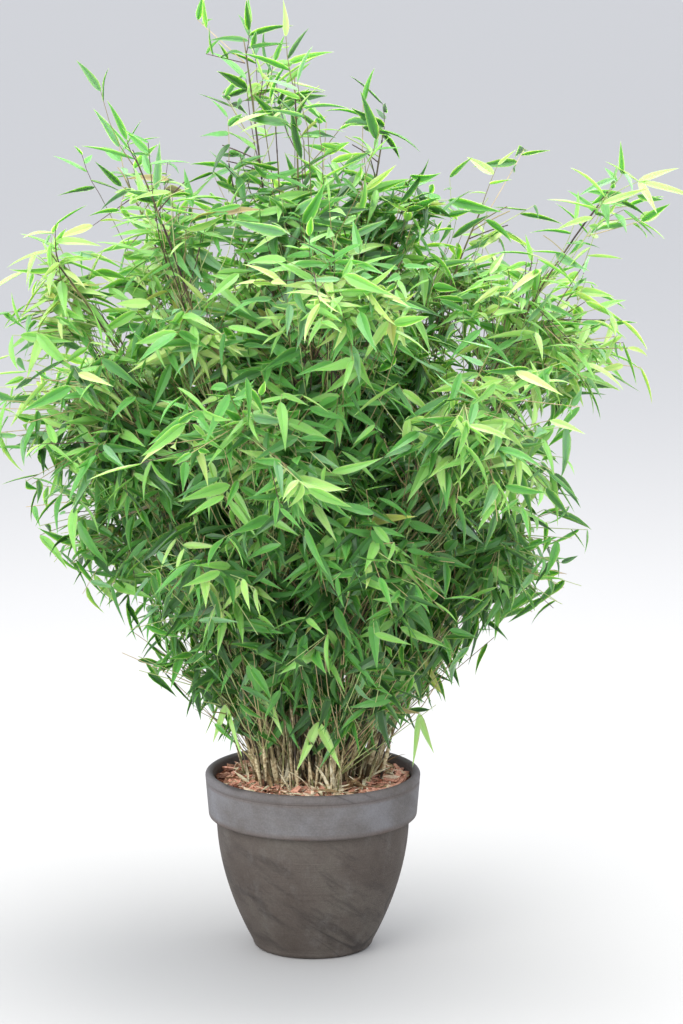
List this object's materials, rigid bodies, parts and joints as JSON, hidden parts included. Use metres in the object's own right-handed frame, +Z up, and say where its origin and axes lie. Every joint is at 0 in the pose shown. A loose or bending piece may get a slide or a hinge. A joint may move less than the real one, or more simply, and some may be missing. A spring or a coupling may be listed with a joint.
{
  "type": "potted bamboo",
  "caption": "Dense clump of slender leafy bamboo canes, arching outward from a round clay patio pot with an upright rim band.",
  "frame": {"origin": "centre of the pot's flat underside", "axes": "+Z up along the pot's axis; -Y towards the side seen from the front"},
  "size_m": [1.0036, 0.9309, 1.3227],
  "materials": {
    "clay": "matte",
    "soil": "matte",
    "cane": "satin",
    "foliage": "satin"
  },
  "bodies": {
    "root": {"pot": "clay", "potting_soil": "soil", "cane_low_1": "cane", "cane_low_2": "cane", "cane_low_3": "cane", "cane_low_4": "cane", "cane_skirt_1": "cane", "cane_skirt_2": "cane", "cane_skirt_3": "cane", "cane_skirt_4": "cane", "cane_skirt_5": "cane", "cane_skirt_6": "cane", "cane_flank_1": "cane", "cane_flank_2": "cane", "cane_flank_3": "cane", "cane_flank_4": "cane", "cane_flank_5": "cane", "cane_heart_1": "cane", "cane_crown_1": "cane", "cane_crown_2": "cane", "cane_upper_1": "cane", "cane_upper_2": "cane", "cane_upper_3": "cane", "cane_upper_4": "cane", "cane_leader_1": "cane", "cane_leader_2": "cane", "cane_leader_3": "cane", "cane_leader_4": "cane", "cane_leader_5": "cane", "cane_leader_6": "cane", "cane_leader_7": "cane", "foliage_low_1": "foliage", "foliage_low_2": "foliage", "foliage_low_3": "foliage", "foliage_low_4": "foliage", "foliage_skirt_1": "foliage", "foliage_skirt_2": "foliage", "foliage_skirt_3": "foliage", "foliage_skirt_4": "foliage", "foliage_skirt_5": "foliage", "foliage_skirt_6": "foliage", "foliage_flank_1": "foliage", "foliage_flank_2": "foliage", "foliage_flank_3": "foliage", "foliage_flank_4": "foliage", "foliage_flank_5": "foliage", "foliage_heart_1": "foliage", "foliage_crown_1": "foliage", "foliage_crown_2": "foliage", "foliage_upper_1": "foliage", "foliage_upper_2": "foliage", "foliage_upper_3": "foliage", "foliage_upper_4": "foliage", "foliage_leader_1": "foliage", "foliage_leader_2": "foliage", "foliage_leader_3": "foliage", "foliage_leader_4": "foliage", "foliage_leader_5": "foliage", "foliage_leader_6": "foliage", "foliage_leader_7": "foliage"}
  },
  "joints": []
}
